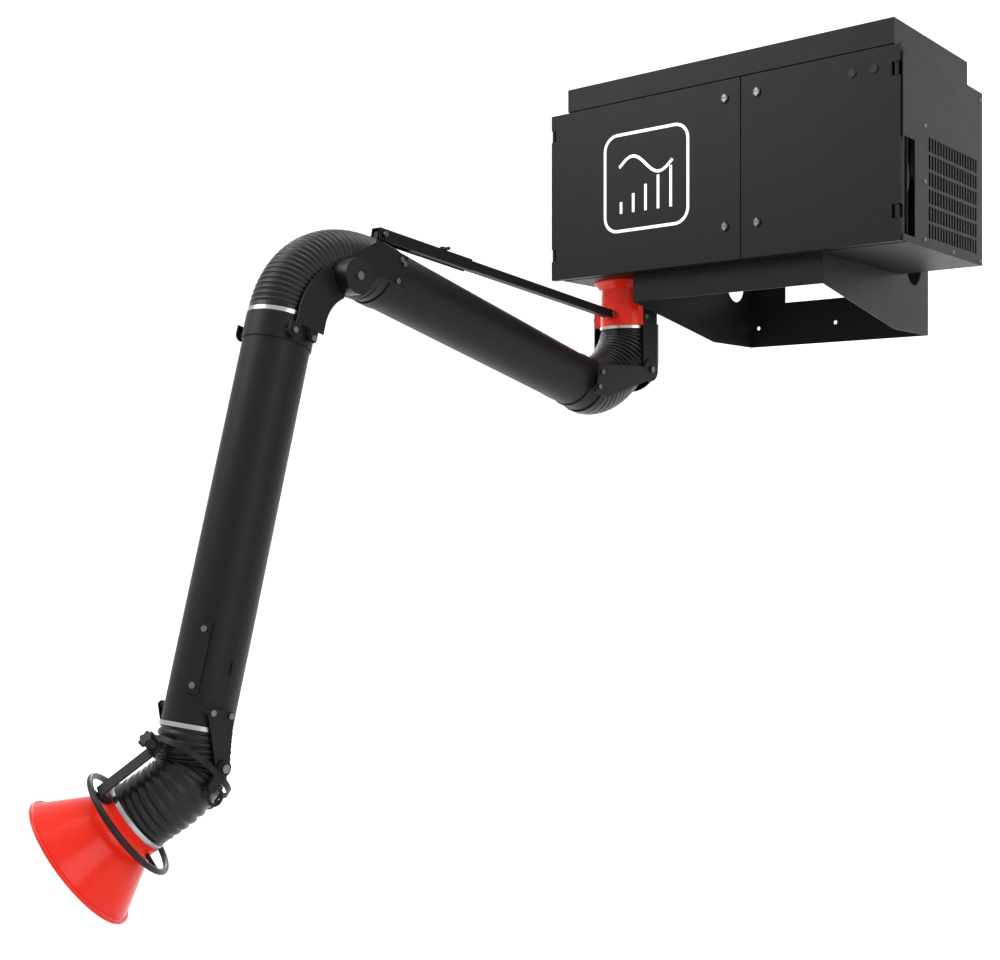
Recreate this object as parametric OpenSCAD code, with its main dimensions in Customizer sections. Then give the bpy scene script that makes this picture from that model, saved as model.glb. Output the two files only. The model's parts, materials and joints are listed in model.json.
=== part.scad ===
// Wall-mounted welding fume extractor: a filter and fan cabinet on a wall bracket,
// with a swivelling suction arm, a telescopic strut and a hood.
// The origin is the centre of the wall plate's back face; +Y goes into the wall, +Z is up.

/* [Cabinet] */
// Width of the lower tier over its side panels
cabinet_w = 1130; // [1100:5:1200]
// Depth of the lower tier from the door faces to the back
cabinet_d = 560; // [540:5:600]
// Height of the side panels
side_h = 504; // [480:2:600]
// How far the doors rise above the side panels
door_rise = 13; // [8:1:30]
// How far the top tier rises above the side panels
top_rise = 85; // [60:1:140]
// Width of the top tier
top_w = 1067; // [1000:1:1080]
// Depth of the top tier
top_d = 509; // [440:1:530]
// Thickness of the cabinet's sheet metal
sheet = 2; // [1.5:0.5:3]
// Depth of the door pans
pan_d = 24; // [20:1:28]
// Distance of the door seam from the cabinet's middle
seam_x = 83; // [70:1:100]
// Overhang of the left door past the side panel
door_overhang = 27; // [24:1:34]
// Gap between the cabinet's back and the wall
wall_gap = 210; // [190:5:240]
// Drop of the cabinet's floor below the origin
floor_drop = 80; // [70:2:90]

/* [Bracket] */
// Width of the wall bracket
bracket_w = 630; // [610:5:640]
// Height of the wall plate
plate_h = 500; // [480:10:540]
// Thickness of the bracket's steel
plate_t = 4; // [3:1:6]
// Height of the front strip
strip_h = 84; // [76:1:88]
// Distance of the front strip behind the door faces
strip_back = 51; // [48:1:56]
// Width of the window in the wall plate
window_w = 368; // [320:4:400]
// Height of the window in the wall plate
window_h = 254; // [220:2:280]
// Spacing of the wall bolts across
wall_bolt_x = 570; // [550:2:580]
// Spacing of the wall bolts up
wall_bolt_z = 370; // [340:2:400]
// Diameter of the wall bolt holes
wall_bolt_d = 13; // [9:1:15]

/* [Arm] */
// Distance of the swivel from the left side panel
swivel_in = 135; // [132:1:140]
// Distance of the swivel behind the door faces
swivel_back = 188; // [184:1:194]
// Outer diameter of the red collars
collar_d = 178; // [174:1:180]
// Height of the fixed collar
fixed_collar_h = 72; // [66:1:78]
// Height of the swivel collar
swivel_collar_h = 71; // [66:1:80]
// Depth of the shoulder pivot below the cabinet's floor
shoulder_drop = 281; // [274:1:300]
// Outer diameter of the arm tubes
tube_d = 160; // [154:1:162]
// Wall of the arm tubes
tube_wall = 2; // [1.5:0.5:3]
// Length of the upper tube
upper_len = 930; // [850:5:1000]
// Rise of the upper tube
upper_tilt = 14.6; // [13:0.2:16]
// Length of the lower tube
lower_len = 966; // [900:2:1050]
// Lean of the lower tube from upright
lower_tilt = 15; // [12:0.5:18]

/* [Hood] */
// Lean of the wrist link from upright
wrist_tilt = 44; // [38:1:48]
// Sideways turn of the hood
hood_turn = 32; // [26:1:36]
// Diameter of the hood's rim
hood_d = 330; // [300:2:350]
// Diameter of the hood's collar
hood_collar_d = 172; // [170:1:174]
// Height of the hood's cone
cone_h = 124; // [110:2:150]
// Middle diameter of the ring handle
ring_d = 261; // [254:1:276]
// Thickness of the ring handle
ring_t = 14; // [11:1:16]

/* [Hidden] */
// Fineness of round parts, and of children of a hull
$fn = 64;
fine = 32;
// Gap between faces of pieces that move past each other
gap = 0.3;
// Radial clearance of a pin in its bore
fit = 0.05;
// How far a cutting shape runs past the face that it cuts
over = 1;

// Places of the cabinet
floor_z = -floor_drop;
front_y = -(wall_gap + cabinet_d);
back_y = -wall_gap;
side_top = floor_z + side_h;
door_top = side_top + door_rise;
top_z = side_top + top_rise;
left_x = -cabinet_w / 2;
right_x = cabinet_w / 2;
seal_t = 5.7;
seal_w = 12;
top_right_in = 25;
top_x = [right_x - top_right_in - top_w, right_x - top_right_in];
carcass_y = front_y + pan_d + gap + seal_t;
inner_y = back_y - sheet;
swivel_x = left_x + swivel_in;
swivel_y = front_y + swivel_back;

// Front frame of the carcass, behind the doors
frame_w = 46;
rail_h = 26;
centre_x = [seam_x - frame_w / 2, seam_x + frame_w / 2];
left_open_x = [left_x + sheet + frame_w, centre_x[0]];
right_open_x = [centre_x[1], right_x - sheet - frame_w];
open_z = [floor_z + rail_h, side_top - rail_h];

// Doors and their hinges
pan_bottom = floor_z + 4 * gap;
seam_gap = 3;
door_side_gap = 5;
left_door_x = [left_x - door_overhang, seam_x - seam_gap / 2];
right_door_x = [seam_x + seam_gap / 2, right_x - sheet - door_side_gap];
knuckle_d = 12;
hinge_pin_d = 6;
hinge_y = front_y + knuckle_d / 2 + gap;
left_pin_x = left_x - door_overhang + knuckle_d / 2;
right_pin_x = right_door_x[1] - knuckle_d - gap;
hinge_h = 34;
hinge_low = 62;
hinge_high = 436;
hinge_z = [floor_z + hinge_low, floor_z + hinge_high];
hinge_boss_h = 14;
notch_gap = 1.5;
leaf_t = 3;

// Latches, plugs and panel screws
latch_in = 51.5;
latch_low = 98.5;
latch_high = 465;
latch_x = [seam_x - latch_in, seam_x + latch_in];
latch_z = [floor_z + latch_low, floor_z + latch_high];
latch_head_d = 26;
latch_head_h = 4;
latch_shank_d = 16;
latch_slot = 4;
cam_t = 3;
cam_w = 12;
cam_len = 38;
plug_d = 23;
plug_h = 3;
plug_low = 463;
plug_in = [143, 81];
screw_d = 11;
screw_h = 3;
screw_y = [142, 339, 542];
screw_low_z = [21, 177, 327];
screw_edge_z = 12;

// Grip slot and grille of the side panel
grip_y = [6, 76];
grip_z = [18, 275];
grille_y = [163, 518];
grille_z = [25, 305];
grille_cols = 18;
grille_rows = 6;
grille_bar = 8;

// Bracket
window_low = 25;
frame_gap = 14;
foot_w = 44;
cheek_front_z = -floor_drop - strip_h;
strip_y = front_y + strip_back;
cheek_flat = 250;
notch_d = 112;
notch_y = -111;
notch_low = -103;
foot_back = 260;
foot_y = [strip_y, -foot_back];
foot_x = bracket_w / 2 - plate_t - foot_w / 2;
frame_bolt_d = 12;
frame_bolt_y = [-640, -300];
nut_h = 8;

// Filter side
case_x = [-240, 0];
case_y = [-690, -260];
case_t = 4;
rail_t = 2;
rail_leg = 30;
pleats = 22;
pleat_t = 5;
pre_t = 30;

// Fan side
fan_y = -470;
fan_z = 172;
scroll_r = 175;
scroll_w = 130;
scroll_wall = 2;
scroll_drop = 220;
fan_eye_r = 100;
wheel_r = 150;
wheel_w = 90;
wheel_in = 20;
blades = 12;
blade_t = 2;
blade_l = 46;
hub_r = 30;
shaft_d = 24;
motor_d = 180;
motor_l = 190;
motor_stand_w = 120;
motor_gap = 12;
shaft_in = 40;
box_w = 150;
box_h = 110;
box_d = 60;

// Collars
collar_r = collar_d / 2;
collar_wall = 5;
bore_r = collar_r - collar_wall;
flare_r = 108;
flare_h = 26;
flare_lip = 4;
collar_seam_z = floor_z - fixed_collar_h;
collar_low_z = collar_seam_z - swivel_collar_h;
sleeve_t = 3;
sleeve_h = 18;
lip_h = 4;
lip_r = 2;
ear_top = 8;
strap_in = 91;
strap_t = 4;
strap_w = 74;
strap_bolt_y = -26;
strap_bolt_z = -45;
bolt_head_d = 20;
bolt_head_h = 6;
lug_w = 18;
lug_r = 13;
root_r = 108;
root_z = floor_z - 108;
clamp_h = 9;
clamp_t = 6;

// Arm plane: every pair here is a place in it, as [y, z]
shoulder_out = 15;
shoulder = [swivel_y - shoulder_out, floor_z - shoulder_drop];
upper_dir = [-cos(upper_tilt), sin(upper_tilt)];
upper_up = [sin(upper_tilt), cos(upper_tilt)];
upper_reach = 233;
upper_drop = 54;
upper_start = shoulder + [-upper_reach, -upper_drop];
upper_end = upper_start + upper_len * upper_dir;
tube_r = tube_d / 2;
tube_bore_r = tube_r - tube_wall;
elbow_out = 156;
elbow_down = 82;
elbow = upper_end + elbow_out * upper_dir - elbow_down * upper_up;
lower_dir = [-sin(lower_tilt), -cos(lower_tilt)];
lower_side = [-cos(lower_tilt), sin(lower_tilt)];
lower_along = 137.7;
lower_out = 94.2;
lower_start = elbow + lower_along * lower_dir + lower_out * lower_side;
lower_end = lower_start + lower_len * lower_dir;
wrist_along = 71;
wrist_in = 21;
wrist = lower_end + wrist_along * lower_dir - wrist_in * lower_side;
strut_top = 104;
strut_back = 4;
strut_root = [swivel_y - root_r, root_z];
strut_end = upper_end - strut_back * upper_dir + strut_top * upper_up;
strut_vec = strut_end - strut_root;
strut_tilt = atan2(strut_vec[1], -strut_vec[0]);

// Plates along the arm
plate_s = 4;
outer_x = strap_in + strap_t + gap;
band_t = 3;
shoulder_band = 54;
shoulder_bolts_at = [38, 42];
shoulder_bolt_up = [22, -25];
shoulder_end_r = 36;
shoulder_arm_up = [-46, 41];
shoulder_tip_r = 20;
shoulder_tip_in = 11;
pivot_d = 12;
disc_r = 44;
elbow_end_r = 44;
drum_l = 38;
elbow_plate_z = [-32, 84];
elbow_plate_up = [-40, 45];
elbow_neck_z = 50;
ear_w = 14;
guard_r = 94;
guard_t = 2.5;
guard_top = collar_low_z + 8;
guard_bend_z = shoulder[1] + 30;
guard_front = strap_w / 2 - shoulder_out;
elbow_plate_in = 87;
elbow_plate_x = [elbow_plate_in, elbow_plate_in + plate_s];
elbow_arm_x = [elbow_plate_x[1] + gap, elbow_plate_x[1] + gap + plate_s];
drum_x = [elbow_arm_x[1] + gap, elbow_arm_x[1] + gap + drum_l];
elbow_band = 36;
elbow_bolts_up = [29, 22, -28];
elbow_bolts_at = [-9, -22, -9];
arc_c = [-60, 134];
arc_r = [100, 186];
arm_tail = 62;
arm_bolts_out = [69, 128];
arm_bolt_at = 179;
arm_end = 26;
arm_pads_r = [12, 16];
small_bolt_d = 8;
small_head_d = 14;
small_head_h = 5;

// Strut
inner_w = 25;
inner_wall = 3;
inner_len = 900;
channel_w = 31;
channel_h = 31;
channel_t = 2.5;
channel_len = 345;
end_over = 14;
lever_at = 240;
lever_len = 46;
lever_d = 9;
lever_h = 10;
strut_pin_d = 10;
strut_pin_l = 42;

// Grip strip and damper
grip_strip_w = 30;
grip_strip_t = 6;
grip_strip_at = [731, 889];
grip_strip_turn = 57;
grip_bolts_at = [748, 873];
damper_at = 812;
damper_gap = 1;
damper_shaft_d = 8;
lever_w = 10;
lever_l = 24;
lever_t = 4;

// Wrist and hood
link_len = 40;
wrist_strap_in = 87;
wrist_strap_x = [wrist_strap_in, wrist_strap_in + plate_s];
wrist_bolts_at = -42;
wrist_bolts_out = [-13, 38];
wrist_pad_r = 10;
wrist_end_r = 18;
hoop_x = [wrist_strap_x[1] + gap, 98];
hoop_in = 94;
hoop_shift = 24;
loop_at = [-23, 58];
link_tip = [-2, 48];
link_tip_r = 12;
link_root_r = 15;
hoop_z = [13, 27];
loop_r = 18;
loop_d = 8;
bolt_in = 3;
knob_d = 38;
knob_l = 30;
knob_lobes = 6;
lobe_d = 10;
hose_r = 82.5;
wrist_clamp_h = 10;
hood_clamp_at = 129;
hood_clamp_h = 10;
hood_hose_end = 140;
collar_at = 140;
hood_collar_h = 25;
hood_wall = 2;
rim_lip = 5;
ring_at = 158;
spoke_d = 10;
spokes = 3;
hood_collar_r = hood_collar_d / 2;

// Ribbed hoses
hose_sides = 8;
hose_bore_share = 0.82;
rib_depth_share = 0.06;
shoulder_hose_r = 88;
elbow_hose_r = 82;
shoulder_ribs = 12;
elbow_ribs = 24;
wrist_ribs = 9;
hood_ribs = 9;
cuff = 8;
shoulder_pull = [100, 100];
elbow_pull = [185, 95];
wrist_pull = [40, 40];
hood_pull = [45, 45];

// A box between two corners, given as ranges
module block(x, y, z) {
    translate([x[0], y[0], z[0]]) cube([x[1] - x[0], y[1] - y[0], z[1] - z[0]]);
}

// Rods along an axis, from one place to another
module rod_x(x, d) {
    translate([x[0], 0, 0]) rotate([0, 90, 0]) cylinder(d = d, h = x[1] - x[0]);
}

module rod_y(y, d) {
    translate([0, y[0], 0]) rotate([-90, 0, 0]) cylinder(d = d, h = y[1] - y[0]);
}

// A ring about the z axis
module ring_z(z, outer, inner) {
    translate([0, 0, z[0]]) difference() {
        cylinder(r = outer, h = z[1] - z[0]);
        translate([0, 0, -over]) cylinder(r = inner, h = z[1] - z[0] + 2 * over);
    }
}

// A flat plate square to x, drawn in y and z
module plate_x(x) {
    translate([x[0], 0, 0]) rotate([90, 0, 90]) linear_extrude(x[1] - x[0]) children();
}

module plate_2d(x, y) {
    translate([x[0], y[0]]) square([x[1] - x[0], y[1] - y[0]]);
}

// The same thing on both sides of the arm
module both_sides() {
    children();
    mirror([1, 0, 0]) children();
}

// Frames of the arm: z runs along the tube
module on_swivel() {
    translate([swivel_x, swivel_y, 0]) children();
}

module at_place(p) {
    translate([swivel_x, p[0], p[1]]) children();
}

module on_upper(p) {
    at_place(p) rotate([90 - upper_tilt, 0, 0]) children();
}

module on_lower(p) {
    at_place(p) rotate([180 - lower_tilt, 0, 0]) children();
}

module on_link() {
    at_place(wrist) rotate([180 - wrist_tilt, 0, 0]) children();
}

module on_hood() {
    on_link() translate([0, 0, link_len]) rotate([0, -hood_turn, 0]) children();
}

module on_strut(p) {
    at_place(p) rotate([90 - strut_tilt, 0, 0]) children();
}

// Bolt with a round head that rests on the plane x, pointing outward
module head_x(x, d, h) {
    rod_x([x, x + h], d);
}

// Wall bracket
module wall_plate() color("dimgray") difference() {
    block([-bracket_w / 2, bracket_w / 2], [-plate_t, 0], [-plate_h / 2, plate_h / 2]);
    block([-window_w / 2, window_w / 2], [-plate_t - over, over],
        [floor_z - window_low, floor_z - window_low + window_h]);
    for (x = [-wall_bolt_x / 2, 0, wall_bolt_x / 2]) for (z = [-wall_bolt_z / 2, wall_bolt_z / 2])
        translate([x, 0, z]) rod_y([-plate_t - over, over], wall_bolt_d);
}
module cheek_outline() difference() {
    polygon([
        [-plate_t, -plate_h / 2], [-cheek_flat, -plate_h / 2], [strip_y, cheek_front_z],
        [strip_y, floor_z], [back_y + frame_gap, floor_z], [back_y + frame_gap, plate_h / 2],
        [-plate_t, plate_h / 2]
    ]);
    hull() {
        translate([notch_y, notch_low + notch_d / 2]) circle(d = notch_d, $fn = fine);
        translate([notch_y, notch_low + notch_d]) circle(d = notch_d, $fn = fine);
    }
}
module cheek() color("dimgray") difference() {
    union() {
        plate_x([bracket_w / 2 - plate_t, bracket_w / 2]) cheek_outline();
        block([bracket_w / 2 - plate_t - foot_w, bracket_w / 2], foot_y, [floor_z - plate_t, floor_z]);
    }
    for (y = frame_bolt_y) translate([foot_x, y, floor_z - plate_t - over])
        cylinder(d = frame_bolt_d, h = plate_t + 2 * over);
}

module left_cheek() mirror([1, 0, 0]) cheek();

module right_cheek() cheek();

module front_strip() color("dimgray")
    block([-bracket_w / 2, bracket_w / 2], [strip_y - plate_t, strip_y], [cheek_front_z, floor_z]);

// Bolts hold the cabinet's floor to the bracket's feet
module bracket_bolts() color("silver") for (x = [-foot_x, foot_x]) for (y = frame_bolt_y)
    translate([x, y, floor_z - plate_t]) {
        translate([0, 0, -nut_h]) cylinder(d = bolt_head_d, h = nut_h);
        cylinder(d = frame_bolt_d, h = plate_t + sheet);
        translate([0, 0, plate_t + sheet]) cylinder(d = bolt_head_d, h = nut_h);
    }

// Cabinet: floor, back, deck and front frame
module carcass() color("dimgray") difference() {
    union() {
        block([left_x + sheet, right_x - sheet], [carcass_y, back_y], [floor_z, floor_z + sheet]);
        block([left_x + sheet, right_x - sheet], [inner_y, back_y], [floor_z, side_top]);
        block([left_x + sheet, right_x - sheet], [carcass_y, back_y], [side_top - sheet, side_top]);
        difference() {
            block([left_x + sheet, right_x - sheet], [carcass_y, carcass_y + sheet], [floor_z, side_top]);
            for (x = [left_open_x, right_open_x])
                block(x, [carcass_y - over, carcass_y + sheet + over], open_z);
        }
    }
    translate([swivel_x, swivel_y, floor_z - over]) cylinder(r = bore_r, h = sheet + 2 * over);
    for (x = [-foot_x, foot_x]) for (y = frame_bolt_y) translate([x, y, floor_z - over])
        cylinder(d = frame_bolt_d, h = sheet + 2 * over);
}

module left_side_panel() color("dimgray")
    block([left_x, left_x + sheet], [carcass_y, back_y], [floor_z, side_top]);

// The right panel has a grip slot at its front edge and a grille
module right_side_panel() color("dimgray") difference() {
    block([right_x - sheet, right_x], [front_y, back_y], [floor_z, side_top]);
    block([right_x - sheet - over, right_x + over], [front_y + grip_y[0], front_y + grip_y[1]],
        [floor_z + grip_z[0], floor_z + grip_z[1]]);
    col = (grille_y[1] - grille_y[0]) / grille_cols;
    row = (grille_z[1] - grille_z[0]) / grille_rows;
    for (i = [0:grille_cols - 1]) for (j = [0:grille_rows - 1])
        translate([right_x - sheet - over, front_y + grille_y[0] + i * col + grille_bar / 2,
            floor_z + grille_z[0] + j * row + grille_bar / 2])
            cube([sheet + 2 * over, col - grille_bar, row - grille_bar]);
}

module top_cover() color("dimgray") difference() {
    union() {
        block(top_x, [front_y, front_y + top_d], [door_top + seam_gap, top_z]);
        block(top_x, [carcass_y, front_y + top_d], [side_top, top_z]);
    }
    block([top_x[0] + sheet, top_x[1] - sheet], [front_y + sheet, front_y + top_d - sheet],
        [side_top - over, top_z - sheet]);
}

module panel_screws() color("gray") {
    for (side = [-1, 1]) for (y = screw_y) for (z = screw_low_z)
        if (!(y == screw_y[1] && z == screw_low_z[1]) && (side < 0 || y < grille_y[0]))
            translate([side * right_x, front_y + y, floor_z + z]) rotate([0, side * 90, 0]) dome();
    for (y = [screw_y[1], screw_y[2]]) translate([right_x, front_y + y, floor_z + screw_edge_z])
        rotate([0, 90, 0]) dome();
    translate([right_x, front_y + screw_y[2], side_top - screw_edge_z - screw_d]) rotate([0, 90, 0]) dome();
}

// Low rounded screw head
module dome() rotate_extrude($fn = fine) polygon([
    [0, 0], [screw_d / 2, 0], [screw_d / 2, screw_h / 3], [screw_d / 3, screw_h], [0, screw_h]
]);

module door_seals() color("black") for (x = [left_open_x, right_open_x]) difference() {
    block([x[0] - seal_w, x[1] + seal_w], [carcass_y - seal_t, carcass_y],
        [open_z[0] - seal_w, open_z[1] + seal_w]);
    block(x, [carcass_y - seal_t - over, carcass_y + over], open_z);
}

// Door hinges: a knuckle on a leaf of the carcass, with its pin
module hinge_body(x, side) {
    difference() {
        union() {
            translate([x, hinge_y, 0]) cylinder(d = knuckle_d, h = hinge_h);
            block([x - leaf_t / 2, x + leaf_t / 2], [hinge_y, carcass_y], [0, hinge_h]);
            if (side < 0)
                block([x - leaf_t / 2, left_x + sheet], [carcass_y - leaf_t, carcass_y], [0, hinge_h]);
        }
    }
    translate([x, hinge_y, -hinge_boss_h - notch_gap])
        cylinder(d = hinge_pin_d, h = hinge_h + 2 * (hinge_boss_h + notch_gap));
}

module hinge_pins() color("gray") for (z = hinge_z) translate([0, 0, z]) {
    hinge_body(left_pin_x, -1);
    hinge_body(right_pin_x, 1);
}

module partition() color("gray") difference() {
    block([seam_x - sheet, seam_x], [carcass_y + sheet, inner_y], [floor_z + sheet, side_top - sheet]);
    translate([0, fan_y, fan_z]) rod_x([seam_x - sheet - over, seam_x + over], 2 * fan_eye_r);
}

// Filter: rails on the floor and under the deck, a case, its pleats and a pre-filter
case_z = [floor_z + sheet + rail_leg, side_top - sheet - rail_leg];
module filter_rails() color("gray") for (x = case_x) {
    dx = x == case_x[0] ? -rail_t : 0;
    for (z = [floor_z + sheet, case_z[1] - rail_leg / 2])
        block([x + dx, x + dx + rail_t], case_y, [z, z + 1.5 * rail_leg]);
}

module filter_case() color("silver") difference() {
    block(case_x, case_y, case_z);
    block([case_x[0] - over, case_x[1] + over], [case_y[0] + case_t, case_y[1] - case_t],
        [case_z[0] + case_t, case_z[1] - case_t]);
}

// The pleats are sheets joined at one side and at the other in turn
module filter_media() color("white") {
    step = (case_y[1] - case_y[0] - 2 * case_t - pleat_t) / pleats;
    z = [case_z[0] + case_t, case_z[1] - case_t];
    first = case_y[0] + case_t;
    for (i = [0:pleats]) block([case_x[0] + case_t, case_x[1] - case_t],
        [first + i * step, first + i * step + pleat_t], z);
    for (i = [0:pleats - 1]) let (x = i % 2 == 0 ? case_x[0] + case_t : case_x[1] - case_t - pleat_t)
        block([x, x + pleat_t], [first + i * step, first + (i + 1) * step], z);
}

module prefilter() color("gainsboro")
    block([case_x[0] - rail_t - pre_t, case_x[0] - rail_t], [case_y[0], case_y[1]], case_z);

// Fan: scroll against the partition, motor on a stand, control box on the back
module scroll_outline(r, low) {
    circle(r = r);
    translate([0, low]) square([r, -low]);
}

module fan_scroll() color("gray") translate([0, fan_y, fan_z]) difference() {
    plate_x([seam_x, seam_x + scroll_w]) scroll_outline(scroll_r, -scroll_drop);
    plate_x([seam_x + scroll_wall, seam_x + scroll_w - scroll_wall])
        scroll_outline(scroll_r - scroll_wall, -scroll_drop - over);
    rod_x([seam_x - over, seam_x + scroll_wall + over], 2 * fan_eye_r);
    rod_x([seam_x + scroll_w - scroll_wall - over, seam_x + scroll_w + over], shaft_d + 2 * gap);
}

motor_x = [seam_x + scroll_w + motor_gap, seam_x + scroll_w + motor_gap + motor_l];
module fan_motor() color("slategray") translate([0, fan_y, fan_z]) difference() {
    union() {
        rod_x(motor_x, motor_d);
        rod_x([seam_x + scroll_w, motor_x[0]], motor_d / 2);
    }
    rod_x([seam_x + scroll_w - over, motor_x[0] + shaft_in + fit], shaft_d + 2 * fit);
}

module motor_stand() color("gray") difference() {
    block([motor_x[0] + motor_gap, motor_x[1] - motor_gap],
        [fan_y - motor_stand_w / 2, fan_y + motor_stand_w / 2], [floor_z + sheet, fan_z]);
    translate([0, fan_y, fan_z]) rod_x([motor_x[0], motor_x[1]], motor_d);
    block(motor_x, [fan_y - motor_stand_w / 2 + plate_t, fan_y + motor_stand_w / 2 - plate_t],
        [floor_z + sheet + plate_t, fan_z - motor_d / 2 - plate_t]);
}

module control_box() color("silver")
    block([motor_x[0], motor_x[0] + box_w], [inner_y - box_d, inner_y],
        [side_top - sheet - 2 * box_h, side_top - sheet - box_h]);

// The wheel turns inside the scroll, on a shaft that runs into the motor
module impeller() color("silver") translate([0, fan_y, fan_z]) {
    x = [seam_x + wheel_in, seam_x + wheel_in + wheel_w];
    rod_x([x[1] - scroll_wall, x[1]], 2 * wheel_r);
    rod_x([x[0] + wheel_w / 2, x[1] + gap], 2 * hub_r);
    rod_x([x[1], motor_x[0] + shaft_in], shaft_d);
    difference() {
        rod_x([x[0], x[0] + scroll_wall], 2 * wheel_r);
        rod_x([x[0] - over, x[0] + scroll_wall + over], 2 * (wheel_r - blade_l));
    }
    for (i = [0:blades - 1]) rotate([i * 360 / blades, 0, 0])
        block([x[0] + scroll_wall / 2, x[1] - scroll_wall / 2],
            [wheel_r - blade_l, wheel_r - over], [0, blade_t]);
}

// Doors are pans, open at the back, cut back at the hinges
module door_pan(x, pin_x, side) difference() {
    union() {
        difference() {
            block(x, [front_y, front_y + pan_d], [pan_bottom, door_top]);
            block([x[0] + sheet, x[1] - sheet], [front_y + sheet, front_y + pan_d + over],
                [pan_bottom + sheet, door_top - sheet]);
        }
        for (z = hinge_z) for (b = [z - notch_gap - hinge_boss_h, z + hinge_h + notch_gap])
            translate([pin_x, hinge_y, b]) cylinder(d = knuckle_d, h = hinge_boss_h);
    }
    for (z = hinge_z) {
        block([side < 0 ? x[0] - over : pin_x - knuckle_d, side < 0 ? pin_x + knuckle_d : x[1] + over],
            [front_y - over, front_y + pan_d + over], [z - notch_gap, z + hinge_h + notch_gap]);
        translate([pin_x, hinge_y, z - notch_gap - hinge_boss_h - over])
            cylinder(d = hinge_pin_d + 2 * fit, h = hinge_h + 2 * (notch_gap + hinge_boss_h + over));
    }
    for (lx = latch_x) for (z = latch_z) if (lx > x[0] && lx < x[1])
        translate([lx, 0, z]) rod_y([front_y - over, front_y + sheet + over], latch_shank_d + 2 * fit);
}

module left_door() color("dimgray") door_pan(left_door_x, left_pin_x, -1);

module right_door() color("dimgray") door_pan(right_door_x, right_pin_x, 1);

module blanking_plugs() color("black") for (x = plug_in)
    translate([right_x - x, 0, floor_z + plug_low]) rod_y([front_y - plug_h, front_y], plug_d);

// Quarter-turn latch: a slotted head, its shank and a cam behind the frame
module latch(x, z) color("silver") translate([x, 0, z]) {
    difference() {
        rod_y([front_y - latch_head_h - gap, front_y - gap], latch_head_d);
        block([-latch_head_d / 3, latch_head_d / 3],
            [front_y - latch_head_h - gap - over, front_y - gap - latch_head_h / 2],
            [-latch_slot / 2, latch_slot / 2]);
    }
    rod_y([front_y - gap - over / 2, cam_y[1]], latch_shank_d);
    block([-cam_w / 2, cam_w / 2], cam_y, [-cam_len, cam_w / 2]);
}
cam_y = [carcass_y + sheet + gap, carcass_y + sheet + gap + cam_t];

module latch_left_low() latch(latch_x[0], latch_z[0]);

module latch_left_high() latch(latch_x[0], latch_z[1]);

module latch_right_low() latch(latch_x[1], latch_z[0]);

module latch_right_high() latch(latch_x[1], latch_z[1]);

// Swivel: fixed collar, sleeve that carries the swivel collar, and that collar
module inlet_collar() color("red") on_swivel() rotate_extrude() polygon([
    [bore_r, collar_seam_z], [collar_r, collar_seam_z], [collar_r, floor_z - flare_h],
    [(collar_r + flare_r) / 2, floor_z - flare_h / 2], [flare_r, floor_z - flare_lip],
    [flare_r, floor_z], [bore_r, floor_z]
]);

sleeve_z = [collar_seam_z - sleeve_h, collar_seam_z + sleeve_h];
module swivel_sleeve() color("gray") on_swivel() rotate_extrude() polygon([
    [bore_r - sleeve_t, sleeve_z[0]], [bore_r + lip_r, sleeve_z[0]], [bore_r + lip_r, sleeve_z[0] + lip_h],
    [bore_r, sleeve_z[0] + lip_h], [bore_r, sleeve_z[1]], [bore_r - sleeve_t, sleeve_z[1]]
]);

module swivel_collar() color("red") on_swivel() difference() {
    union() {
        translate([0, 0, collar_low_z]) cylinder(r = collar_r, h = swivel_collar_h - gap);
        block([-strap_in, strap_in], [-shoulder_out - strap_w / 2, -shoulder_out + strap_w / 2],
            [collar_low_z, collar_seam_z - gap - ear_top]);
        translate([0, -root_r, root_z]) rod_x([-lug_w / 2, lug_w / 2], 2 * lug_r);
        block([-lug_w / 2, lug_w / 2], [-root_r, -bore_r], [root_z - lug_r, root_z + lug_r]);
    }
    translate([0, 0, collar_low_z - over]) cylinder(r = bore_r + fit, h = swivel_collar_h + 2 * over);
    translate([0, 0, sleeve_z[0] - gap]) cylinder(r = bore_r + lip_r + gap, h = lip_h + 2 * gap);
    translate([0, -root_r, root_z]) rod_x([-lug_w, lug_w], strut_pin_d);
}

module shoulder_straps() color("dimgray") at_place(shoulder) both_sides() difference() {
    plate_x([strap_in, strap_in + strap_t]) hull() {
        circle(d = strap_w, $fn = fine);
        translate([-strap_w / 2, 0]) square([strap_w, collar_seam_z - ear_top - gap - shoulder[1]]);
    }
    rod_x([strap_in - over, strap_in + strap_t + over], pivot_d);
    translate([0, strap_bolt_y, collar_seam_z + strap_bolt_z - shoulder[1]])
        rod_x([strap_in - over, strap_in + strap_t + over], small_bolt_d);
}

// Bolts of the swivel: straps, shoulder pivots and the strut's root pin
module swivel_bolts() color("silver") {
    at_place(shoulder) both_sides() {
        rod_x([strap_in, outer_x + plate_s + gap], pivot_d);
        head_x(outer_x + plate_s + gap, bolt_head_d, bolt_head_h);
        translate([0, strap_bolt_y, collar_seam_z + strap_bolt_z - shoulder[1]]) {
            rod_x([strap_in, strap_in + strap_t], small_bolt_d);
            head_x(strap_in + strap_t, small_head_d, small_head_h);
        }
    }
    at_place(strut_root) strut_pin();
}

module strut_pin() {
    rod_x([-strut_pin_l / 2, strut_pin_l / 2], strut_pin_d);
    both_sides() head_x(strut_pin_l / 2, small_head_d, small_head_h);
}

module shoulder_clamp() color("silver") on_swivel()
    ring_z([collar_low_z - clamp_h, collar_low_z], collar_r + over, collar_r - clamp_t);

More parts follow.
